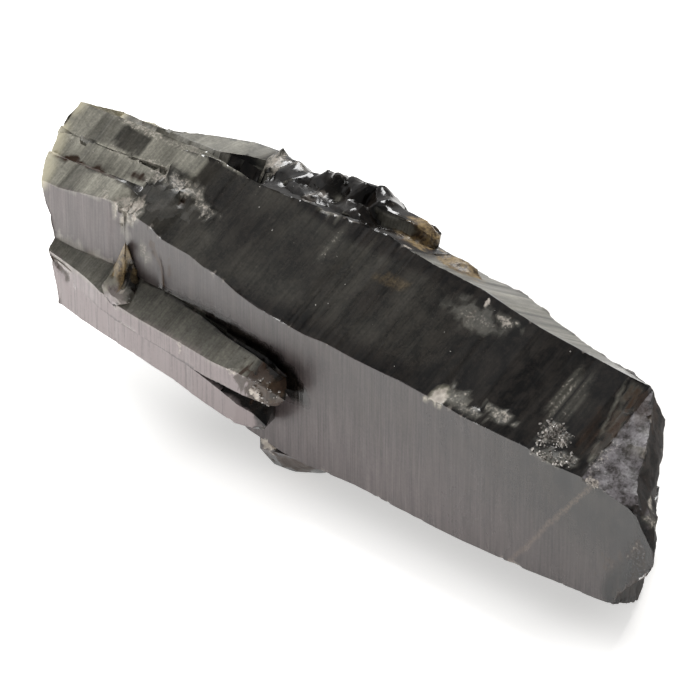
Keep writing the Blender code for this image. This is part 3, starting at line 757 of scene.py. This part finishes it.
# Noise patterns in the quartz: how many to the millimetre along, across and up, then detail,
# roughness and distortion. Striations about 0.3 mm apart run across the crystal and fade in
# and out, bands and clouds lie under them, and the grain is etching, 0.4 mm and finer.
PATTERNS = {
    "striae": ((3.2, 0.10, 0.10), 3.0, 0.5, 0.0),
    "bands": ((0.9, 0.16, 0.16), 5.0, 0.5, 0.0),
    "clouds": ((0.34, 0.22, 0.22), 8.0, 0.62, 0.4),
    "grain": ((2.6, 2.6, 2.6), 5.0, 0.7, 0.0),
    "blotches": ((0.8, 0.8, 0.8), 3.0, 0.6, 0.0),
}
# The flakes of the breaks and chips are this many to the millimetre.
FLAKES_PER_MM = 1.3

# Finishes of two tones: a pattern, from here to there, and the colours at both. The breaks are grey
# where they face up, as on the chip at the tip, and brown and darker where they face sideways, as on the end
# beyond it: partly painted shade.
TWO_TONES = {
    "film": ("lines", 0.545, 0.745, "#060505", "#221e1a"),
    "chip": ("lumps", 0.42, 0.58, "#2b2422", "#757073"),
    "end": ("lumps", 0.40, 0.62, "#080605", "#291e17"),
    "brown": ("grain", 0.0, 1.0, "#1d130d", "#4a3626"),
    "amber": ("lumps", 0.42, 0.58, "#44341f", "#98825c"),
    "pale": ("flakes", 0.0, 1.0, "#9c9288", "#d8cfc3"),
}

# What makes a mark uneven: the mark, a pattern, from here to there, and the factors at both.
UNEVEN_MARKS = [
    ("film_and_painted_sheen", "striae", 0.3, 0.7, 0.62, 1.28),
    ("film_and_painted_sheen", "grain", 0.3, 0.7, 0.86, 1.14),
    ("film_and_painted_sheen", "bands", 0.3, 0.7, 0.82, 1.16),
    ("haze_and_painted_light", "striae", 0.3, 0.7, 0.7, 1.05),
    ("haze_and_painted_light", "bands", 0.35, 0.65, 0.8, 1.0),
    ("haze_and_painted_light", "grain", 0.3, 0.7, 0.7, 1.25),
    ("haze_and_painted_light", "clouds", 0.35, 0.65, 0.75, 1.2),
    ("crack", "grain", 0.35, 0.6, 0.1, 1.2),
]

# Marks that break up into grains, the more the stronger they are: the mark and its weight, a
# pattern and its weight, from which sum to which the grains come in, how strong they get, and
# from which strength to which of the mark they are allowed.
GRAINY_MARKS = [
    ("brown", 1.5, "bands", 1.2, (1.0, 1.7), 1.0, (0.02, 0.2)),
    ("pale", 1.5, "grain", 1.9, (1.35, 1.75), 1.0, (0.02, 0.12)),
    ("wear", 0.8, "grain", 1.0, (0.75, 1.15), 0.4, (0.05, 0.4)),
]


def quartz_patterns(tree, mm):
    """The patterns of the quartz by name."""
    patterns = {}
    for name, (per_mm, detail, roughness, distortion) in PATTERNS.items():
        scaled = add_node(tree, "ShaderNodeMapping", {"Vector": mm, "Scale": per_mm}).outputs[0]
        noise = {"Vector": scaled, "Scale": 1.0, "Detail": detail}
        noise.update({"Roughness": roughness, "Distortion": distortion})
        patterns[name] = add_node(tree, "ShaderNodeTexNoise", noise).outputs["Fac"]
    flakes = add_node(tree, "ShaderNodeTexVoronoi", {"Vector": mm, "Scale": FLAKES_PER_MM}, feature="F1")
    patterns["flakes"] = flakes.outputs["Distance"]
    half_and_half = {0: 0.5, 2: patterns["grain"], 3: patterns["blotches"]}
    patterns["lumps"] = add_node(tree, "ShaderNodeMix", half_and_half).outputs[0]
    lined_clouds = {0: patterns["striae"], 1: 0.25, 2: patterns["clouds"]}
    patterns["lines"] = add_node(tree, "ShaderNodeMath", lined_clouds, operation="MULTIPLY_ADD").outputs[0]
    return patterns


def crack_line(tree, mm, patterns):
    """How strongly the healed crack shows, by the distance from its wavy plane."""
    at_crack = float(to_world(CRACK_FROM) / MM @ CRACK_SIDEWAYS) + CRACK_WAVE / 2
    sideways = {0: mm, 1: tuple(CRACK_SIDEWAYS)}
    distance = add_node(tree, "ShaderNodeVectorMath", sideways, operation="DOT_PRODUCT").outputs["Value"]
    waving = {0: patterns["clouds"], 1: CRACK_WAVE, 2: distance}
    distance = add_node(tree, "ShaderNodeMath", waving, operation="MULTIPLY_ADD").outputs[0]
    distance = add_node(tree, "ShaderNodeMath", {0: distance, 1: at_crack}, operation="SUBTRACT").outputs[0]
    distance = add_node(tree, "ShaderNodeMath", {0: distance}, operation="ABSOLUTE").outputs[0]
    limits = {"Value": distance, "From Min": 0.08, "From Max": 0.5, "To Min": 0.17, "To Max": 0.0}
    return add_node(tree, "ShaderNodeMapRange", limits).outputs[0]


def spread_marks(tree, marks, patterns):
    """The marks with the patterns worked into them: uneven, or broken up into grains."""
    spread = dict(marks)
    for name, pattern, low, high, at_low, at_high in UNEVEN_MARKS:
        limits = {"From Min": low, "From Max": high, "To Min": at_low, "To Max": at_high}
        factor = add_node(tree, "ShaderNodeMapRange", {"Value": patterns[pattern], **limits}).outputs[0]
        both = {0: spread[name], 1: factor}
        spread[name] = add_node(tree, "ShaderNodeMath", both, operation="MULTIPLY").outputs[0]
    for name, weight, pattern, share, (low, high), most, (least, full) in GRAINY_MARKS:
        both = {0: marks[name], 1: weight}
        mark = add_node(tree, "ShaderNodeMath", both, operation="MULTIPLY").outputs[0]
        sums = {0: patterns[pattern], 1: share, 2: mark}
        total = add_node(tree, "ShaderNodeMath", sums, operation="MULTIPLY_ADD").outputs[0]
        limits = {"Value": total, "From Min": low, "From Max": high, "To Max": most}
        grains = add_node(tree, "ShaderNodeMapRange", limits).outputs[0]
        limits = {"Value": marks[name], "From Min": least, "From Max": full}
        allowed = add_node(tree, "ShaderNodeMapRange", limits).outputs[0]
        both = {0: grains, 1: allowed}
        spread[name] = add_node(tree, "ShaderNodeMath", both, operation="MULTIPLY").outputs[0]
    return spread


def quartz_colour(tree, patterns, marks, upward):
    """The thin film on the grown faces, with the breaks and the marks laid over it in turn."""
    tones = {}
    for name, (pattern, low, high, dark, light) in TWO_TONES.items():
        limits = {"Value": patterns[pattern], "From Min": low, "From Max": high}
        share = add_node(tree, "ShaderNodeMapRange", limits).outputs[0]
        both = {0: share, 6: to_linear(dark), 7: to_linear(light)}
        tones[name] = add_node(tree, "ShaderNodeMix", both, data_type="RGBA").outputs[2]
    limits = {"Value": patterns["lumps"], "From Min": 0.48, "From Max": 0.62, "To Max": 0.5}
    mottling = add_node(tree, "ShaderNodeMapRange", limits).outputs[0]
    both = {0: upward, 6: tones["end"], 7: tones["chip"]}
    broken = add_node(tree, "ShaderNodeMix", both, data_type="RGBA").outputs[2]
    layers = [
        (mottling, to_linear("#2e2824")),
        (marks["broken"], broken),
        # The front faces' pale film is partly painted sheen, and the haze is in places painted light over
        # shade and painted reflection.
        (marks["film_and_painted_sheen"], to_linear("#867a7a")),
        (marks["haze_and_painted_light"], to_linear("#aca99c")),
        (marks["brown"], tones["brown"]),
        (marks["amber"], tones["amber"]),
        (marks["cream"], to_linear("#ddd5b8")),
        (marks["pale"], tones["pale"]),
        (marks["wear"], to_linear("#a39a91")),
        (marks["crack"], to_linear("#a8917c")),
    ]
    colour = tones["film"]
    for amount, tint in layers:
        both = {0: amount, 6: colour, 7: tint}
        colour = add_node(tree, "ShaderNodeMix", both, data_type="RGBA").outputs[2]
    return colour


def quartz_roughness(tree, patterns, marks, upward):
    """Glassy where it grew, duller on marks, and matte on the breaks, most on the far end."""
    matte = marks["rough"]
    for name in ("pale", "wear", "cream"):
        matte = add_node(tree, "ShaderNodeMath", {0: matte, 1: marks[name]}, operation="MAXIMUM").outputs[0]
    limits = {"Value": patterns["clouds"], "From Min": 0.3, "From Max": 0.7, "To Min": 0.09, "To Max": 0.2}
    glassy = add_node(tree, "ShaderNodeMapRange", limits).outputs[0]
    grown = add_node(tree, "ShaderNodeMix", {0: matte, 2: glassy, 3: 0.5}).outputs[0]
    broken = add_node(tree, "ShaderNodeMix", {0: upward, 2: 0.8, 3: 0.5}).outputs[0]
    return add_node(tree, "ShaderNodeMix", {0: marks["broken"], 2: grown, 3: broken}).outputs[0]


def quartz_bump(tree, patterns, marks):
    """Striations on the grown faces, flakes on the breaks, and etching, deepest where it is dull."""
    both = {0: patterns["flakes"], 1: 1.6}
    flakes = add_node(tree, "ShaderNodeMath", both, operation="MULTIPLY").outputs[0]
    both = {0: marks["broken"], 2: patterns["striae"], 3: flakes}
    fine = add_node(tree, "ShaderNodeMix", both).outputs[0]
    both = {0: marks["broken"], 1: marks["rough"]}
    dull = add_node(tree, "ShaderNodeMath", both, operation="MAXIMUM").outputs[0]
    etching = add_node(tree, "ShaderNodeMix", {0: dull, 2: 0.4, 3: 4.0}).outputs[0]
    sums = {0: patterns["grain"], 1: etching, 2: fine}
    height = add_node(tree, "ShaderNodeMath", sums, operation="MULTIPLY_ADD").outputs[0]
    relief = {"Height": height, "Strength": 1.0, "Distance": 0.012 * MM}
    return add_node(tree, "ShaderNodeBump", relief).outputs[0]


def morion_quartz():
    """Smoky quartz so dark that only edges and chips a few millimetres thick let light through.

    Grown faces are glassy with cross striations; broken faces are rough and conchoidal; a thin film
    of dust and etching, with painted sheen, light and shade in places, gives the faces their grey or brown
    cast.
    """
    material, tree, output = new_material("morion_quartz")
    place = add_node(tree, "ShaderNodeTexCoord").outputs["Object"]
    mm = add_node(tree, "ShaderNodeVectorMath", {0: place, "Scale": 1 / MM}, operation="SCALE").outputs[0]
    patterns = quartz_patterns(tree, mm)
    names = ("pale", "cream", "brown", "haze_and_painted_light", "film_and_painted_sheen", "rough", "amber", "wear", "broken", "thin", "crack")
    marks = {
        name: add_node(tree, "ShaderNodeAttribute", attribute_name=name).outputs["Fac"] for name in names
    }
    both = {0: crack_line(tree, mm, patterns), 1: marks["crack"]}
    marks["crack"] = add_node(tree, "ShaderNodeMath", both, operation="MULTIPLY").outputs[0]
    marks = spread_marks(tree, marks, patterns)

    direction = add_node(tree, "ShaderNodeNewGeometry").outputs["Normal"]
    rise = add_node(tree, "ShaderNodeSeparateXYZ", {0: direction}).outputs["Z"]
    limits = {"Value": rise, "From Min": 0.62, "From Max": 0.76}
    upward = add_node(tree, "ShaderNodeMapRange", limits).outputs[0]
    both = {0: marks["thin"], 1: marks["pale"]}
    clear = add_node(tree, "ShaderNodeMath", both, operation="SUBTRACT", use_clamp=True).outputs[0]
    stone = add_node(
        tree, "ShaderNodeBsdfPrincipled",
        {
            "Base Color": quartz_colour(tree, patterns, marks, upward),
            "Roughness": quartz_roughness(tree, patterns, marks, upward),
            "IOR": QUARTZ_IOR,
            "Transmission Weight": clear,
            "Normal": quartz_bump(tree, patterns, marks),
        },
    )
    tree.links.new(stone.outputs[0], output.inputs["Surface"])
    # The node takes one density per metre, here above the strongest absorption, and a colour
    # for what that lets through.
    density = max(ABSORPTION_PER_MM) * 1.2 / MM
    kept = [1 - per_mm / MM / density for per_mm in ABSORPTION_PER_MM]
    smoke = add_node(tree, "ShaderNodeVolumeAbsorption", {"Color": (*kept, 1.0), "Density": density})
    tree.links.new(smoke.outputs[0], output.inputs["Volume"])
    return material


def druse_quartz():
    """Druse: a crust of tiny, almost colourless quartz points that glint grey and white."""
    material, tree, output = new_material("druse_quartz")
    place = add_node(tree, "ShaderNodeTexCoord").outputs["Object"]
    tint = add_node(tree, "ShaderNodeTexNoise", {"Vector": place, "Scale": 0.9 / MM, "Detail": 2.0})
    ramp = add_node(tree, "ShaderNodeValToRGB", {"Fac": tint.outputs["Fac"]})
    ramp.color_ramp.elements[0].position = 0.4
    ramp.color_ramp.elements[0].color = to_linear("#8d8680")
    ramp.color_ramp.elements[1].position = 0.62
    ramp.color_ramp.elements[1].color = to_linear("#f2ece6")
    points = add_node(
        tree, "ShaderNodeBsdfPrincipled",
        {
            "Base Color": ramp.outputs["Color"],
            "Roughness": 0.12,
            "IOR": QUARTZ_IOR,
            "Transmission Weight": 0.3,
        },
    )
    tree.links.new(points.outputs[0], output.inputs["Surface"])
    return material


def lint_and_dust():
    """House dust: matte, pale, slightly uneven."""
    material, tree, output = new_material("lint_and_dust")
    place = add_node(tree, "ShaderNodeTexCoord").outputs["Object"]
    tint = add_node(tree, "ShaderNodeTexNoise", {"Vector": place, "Scale": 0.5 / MM})
    colour = add_node(
        tree, "ShaderNodeMix",
        {0: tint.outputs["Fac"], 6: to_linear("#b8b2aa"), 7: to_linear("#f2eee8")}, data_type="RGBA",
    )
    dust = add_node(tree, "ShaderNodeBsdfPrincipled", {"Base Color": colour.outputs[2], "Roughness": 0.9})
    tree.links.new(dust.outputs[0], output.inputs["Surface"])
    return material


# Pieces


def stone_piece():
    """The whole stone as one closed mesh, and its marks."""
    lines = spaced(*GROWTH_LINES)
    bm = divided_stone(lines)
    surface = Surface(bm)
    marks = mark_the_stone(surface)
    carve(bm, surface, marks, broken_faces(bm), lines)
    mesh = bpy.data.meshes.new("quartz_stone")
    bm.to_mesh(mesh)
    bm.free()
    points = np.empty(len(mesh.vertices) * 3)
    mesh.vertices.foreach_get("co", points)
    points = to_world(points.reshape(-1, 3))
    mesh.vertices.foreach_set("co", points.astype(np.float32).ravel())
    for name, values in marks.items():
        attribute = mesh.attributes.new(name, "FLOAT", "POINT")
        attribute.data.foreach_set("value", values.astype(np.float32))
    mesh.shade_smooth()
    mesh.set_sharp_from_angle(angle=math.radians(13))
    mesh.update()
    stone = bpy.data.objects.new("quartz_stone", mesh)
    bpy.context.scene.collection.objects.link(stone)
    mesh.materials.append(morion_quartz())
    return stone


def scatter_tree(name, shape, material):
    """A tree that scatters small upright shapes over a mesh, thickest where "amount" is high."""
    tree = bpy.data.node_groups.new(name, "GeometryNodeTree")
    tree.interface.new_socket("Geometry", in_out="INPUT", socket_type="NodeSocketGeometry")
    for label in ("Per square metre", "Smallest", "Largest", "Lean"):
        tree.interface.new_socket(label, in_out="INPUT", socket_type="NodeSocketFloat")
    tree.interface.new_socket("Geometry", in_out="OUTPUT", socket_type="NodeSocketGeometry")
    given = add_node(tree, "NodeGroupInput")
    amount = add_node(tree, "GeometryNodeInputNamedAttribute", {"Name": "amount"}, data_type="FLOAT")
    both = {0: amount.outputs[0], 1: given.outputs["Per square metre"]}
    density = add_node(tree, "ShaderNodeMath", both, operation="MULTIPLY")
    spots = add_node(
        tree, "GeometryNodeDistributePointsOnFaces",
        {"Mesh": given.outputs["Geometry"], "Density": density.outputs[0], "Seed": 4},
        distribute_method="RANDOM",
    )
    # Each shape leans up to this much about X and Y, and turns any way about its own axis.
    most = given.outputs["Lean"]
    least = add_node(tree, "ShaderNodeMath", {0: most, 1: -1.0}, operation="MULTIPLY").outputs[0]
    low = add_node(tree, "ShaderNodeCombineXYZ", {"X": least, "Y": least, "Z": -3.14})
    high = add_node(tree, "ShaderNodeCombineXYZ", {"X": most, "Y": most, "Z": 3.14})
    lean = add_node(
        tree, "FunctionNodeRandomValue", {0: low.outputs[0], 1: high.outputs[0], "Seed": 7},
        data_type="FLOAT_VECTOR",
    )
    turned = add_node(
        tree, "FunctionNodeRotateRotation",
        {"Rotation": spots.outputs["Rotation"], "Rotate By": lean.outputs[0]}, rotation_space="LOCAL",
    )
    size = add_node(
        tree, "FunctionNodeRandomValue",
        {2: given.outputs["Smallest"], 3: given.outputs["Largest"], "Seed": 9}, data_type="FLOAT",
    )
    placed = add_node(
        tree, "GeometryNodeInstanceOnPoints",
        {
            "Points": spots.outputs["Points"],
            "Instance": shape(tree),
            "Rotation": turned.outputs[0],
            "Scale": size.outputs[1],
        },
    )
    real = add_node(tree, "GeometryNodeRealizeInstances", {0: placed.outputs[0]})
    finished = add_node(tree, "GeometryNodeSetMaterial", {0: real.outputs[0], "Material": material})
    add_node(tree, "NodeGroupOutput", {"Geometry": finished.outputs[0]})
    return tree


def quartz_point(tree):
    """A six-sided prism with a pointed end, one unit across and about two long."""
    prism = add_node(tree, "GeometryNodeMeshCylinder", {"Vertices": 6, "Radius": 0.5, "Depth": 1.2})
    cone = {"Vertices": 6, "Radius Top": 0.0, "Radius Bottom": 0.5, "Depth": 0.7}
    tip = add_node(tree, "GeometryNodeMeshCone", cone)
    raised = add_node(tree, "GeometryNodeTransform", {0: tip.outputs[0], "Translation": (0, 0, 0.6)})
    joined = add_node(tree, "GeometryNodeJoinGeometry")
    for part in (prism, raised):
        tree.links.new(part.outputs[0], joined.inputs[0])
    return joined.outputs[0]


def dust_speck(tree):
    """A flattened crumb, one unit across."""
    crumb = add_node(tree, "GeometryNodeMeshIcoSphere", {"Radius": 0.5, "Subdivisions": 1})
    flat = add_node(tree, "GeometryNodeTransform", {0: crumb.outputs[0], "Scale": (1.0, 0.7, 0.5)})
    return flat.outputs[0]


def scattered_piece(name, stone, amount, shape, material, settings):
    """Small shapes scattered over the stone as a plain mesh."""
    mesh = stone.data.copy()
    weight = mesh.attributes.new("amount", "FLOAT", "POINT")
    weight.data.foreach_set("value", amount.astype(np.float32))
    carrier = bpy.data.objects.new(name + "_carrier", mesh)
    bpy.context.scene.collection.objects.link(carrier)
    modifier = carrier.modifiers.new("scatter", "NODES")
    modifier.node_group = scatter_tree(name, shape, material)
    for item in modifier.node_group.interface.items_tree:
        if item.in_out == "INPUT" and item.name in settings:
            modifier[item.identifier] = settings[item.name]
    ready = carrier.evaluated_get(bpy.context.evaluated_depsgraph_get())
    piece = bpy.data.objects.new(name, bpy.data.meshes.new_from_object(ready))
    bpy.context.scene.collection.objects.link(piece)
    bpy.data.objects.remove(carrier)
    return piece


def druse_piece(stone):
    """The crusts of tiny quartz points, 0.1 to 0.3 mm thick and up to 16 to the square millimetre."""
    druse = np.empty(len(stone.data.vertices))
    stone.data.attributes["druse"].data.foreach_get("value", druse)
    settings = {
        "Per square metre": 16 / MM ** 2,
        "Smallest": 0.1 * MM,
        "Largest": 0.32 * MM,
        "Lean": 0.7,
    }
    return scattered_piece("druse_points", stone, druse, quartz_point, druse_quartz(), settings)


def dust_piece(stone):
    """A few specks of dust on what faces up, 0.1 to 0.3 mm across."""
    normals = np.empty(len(stone.data.vertices) * 3)
    stone.data.vertices.foreach_get("normal", normals)
    upward = np.clip(normals.reshape(-1, 3)[:, 2] - 0.3, 0, 1)
    settings = {
        "Per square metre": 0.026 / MM ** 2,
        "Smallest": 0.1 * MM,
        "Largest": 0.28 * MM,
        "Lean": 1.5,
    }
    return scattered_piece("dust_specks", stone, upward, dust_speck, lint_and_dust(), settings)


# Floor, light and camera


# How brightly the floor glows: a direction, from here to there in millimetres along it, and
# from this strength to that one. It is dimmest behind the stone and lower just in front of its foot, a painted
# soft shadow, and brighter past its ends, painted light that fades the shadow there.
FORWARDS = (0.02, -1.0, 0.0)
ALONGSIDE = (1.0, 0.0, 0.0)
FLOOR_GLOW = [
    (FORWARDS, -30.0, -2.0, 0.25, 0.55),
    (FORWARDS, 4.0, 19.0, 0.0, 0.40),
    (FORWARDS, 21.5, 45.0, 0.0, 0.35),
    (ALONGSIDE, -30.0, -56.0, 0.0, 0.4),
    (ALONGSIDE, 28.0, 50.0, 0.0, 0.3),
]

# Soft light from the surroundings: towards it, half angle of its core and of its rim in
# degrees, and how bright it is. The rest of the room is dim.
SOFT_LIGHTS = [
    ((-0.85, -0.15, 0.50), 7, 19, 0.3),
    ((-0.61, 0.61, 0.50), 18, 40, 0.35),
    ((-0.35, -0.20, 0.92), 6, 22, 0.25),
]
DIM_ROOM = 0.12


def pale_floor():
    """White paper that glows a little, most in front of the stone where its face looks, and less close by it:
    a painted soft shadow.
    """
    material, tree, output = new_material("white_paper_floor")
    place = add_node(tree, "ShaderNodeTexCoord").outputs["Object"]
    glow = 0.0
    for way, near, far, low, high in FLOOR_GLOW:
        reach = add_node(tree, "ShaderNodeVectorMath", {0: place, 1: way}, operation="DOT_PRODUCT")
        limits = {"From Min": near * MM, "From Max": far * MM, "To Min": low, "To Max": high}
        part = add_node(
            tree, "ShaderNodeMapRange",
            {"Value": reach.outputs["Value"], **limits}, interpolation_type="SMOOTHSTEP",
        )
        glow = add_node(tree, "ShaderNodeMath", {0: part.outputs[0], 1: glow}).outputs[0]
    paper = add_node(
        tree, "ShaderNodeBsdfPrincipled",
        {
            "Base Color": to_linear("#eceae7"),
            "Roughness": 0.9,
            "Emission Color": (1.0, 0.995, 0.985, 1.0),
            "Emission Strength": glow,
        },
    )
    tree.links.new(paper.outputs[0], output.inputs["Surface"])
    bpy.ops.mesh.primitive_plane_add(size=8.0, location=(0, 0, -0.02 * MM))
    floor = bpy.context.object
    floor.name = "floor"
    floor.data.materials.append(material)


def studio_world():
    """A dim room with a few soft bright areas for the faces to mirror."""
    world = bpy.data.worlds.new("studio")
    bpy.context.scene.world = world
    world.use_nodes = True
    tree = world.node_tree
    tree.nodes.clear()
    way = add_node(tree, "ShaderNodeTexCoord").outputs["Generated"]
    total = DIM_ROOM
    for direction, core, rim, strength in SOFT_LIGHTS:
        towards = tuple(Vector(direction).normalized())
        facing = add_node(tree, "ShaderNodeVectorMath", {0: way, 1: towards}, operation="DOT_PRODUCT")
        glow = add_node(
            tree, "ShaderNodeMapRange",
            {
                "Value": facing.outputs["Value"],
                "From Min": math.cos(math.radians(rim)),
                "From Max": math.cos(math.radians(core)),
                "To Max": strength,
            },
            interpolation_type="SMOOTHSTEP",
        )
        total = add_node(tree, "ShaderNodeMath", {0: glow.outputs[0], 1: total}).outputs[0]
    background = add_node(tree, "ShaderNodeBackground", {"Color": (1, 1, 1, 1), "Strength": total})
    output = add_node(tree, "ShaderNodeOutputWorld")
    tree.links.new(background.outputs[0], output.inputs["Surface"])


def set_up(name, data, place, back):
    """A lamp or a camera at its place, its back turned the given way."""
    obj = bpy.data.objects.new(name, data)
    obj.location = place
    obj.rotation_mode = "QUATERNION"
    obj.rotation_quaternion = (-back).to_track_quat("-Z", "Y")
    bpy.context.scene.collection.objects.link(obj)
    return obj


def key_light():
    """One large soft lamp, above and behind on the left, which leaves only a faint shadow."""
    lamp = bpy.data.lights.new("key", "AREA")
    lamp.shape = "DISK"
    lamp.size = 0.6
    lamp.energy = 12.5
    place = Vector((-0.35, 0.4, 0.95))
    set_up("key", lamp, place, place)


def photo_camera():
    """A long lens at the photograph's viewing angle."""
    azimuth = math.radians(VIEW_AZIMUTH)
    elevation = math.radians(VIEW_ELEVATION)
    level = math.cos(elevation)
    back = Vector((math.sin(azimuth) * level, -math.cos(azimuth) * level, math.sin(elevation)))
    camera = bpy.data.cameras.new("camera")
    camera.lens = FOCAL_LENGTH
    camera.sensor_width = SENSOR_WIDTH
    camera.clip_start = 0.05
    camera.clip_end = 20.0
    place = Vector(to_world(VIEW_TARGET)) + back * VIEW_DISTANCE * MM
    bpy.context.scene.camera = set_up("camera", camera, place, back)


def build():
    """The stone with its crusts and dust, the floor, the light and the camera."""
    stone = stone_piece()
    pieces = [stone, druse_piece(stone), dust_piece(stone)]
    for piece in pieces:
        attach(piece, "root")
    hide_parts(STONE)
    pale_floor()
    studio_world()
    key_light()
    photo_camera()
    bpy.context.scene.view_settings.view_transform = "Standard"


build()
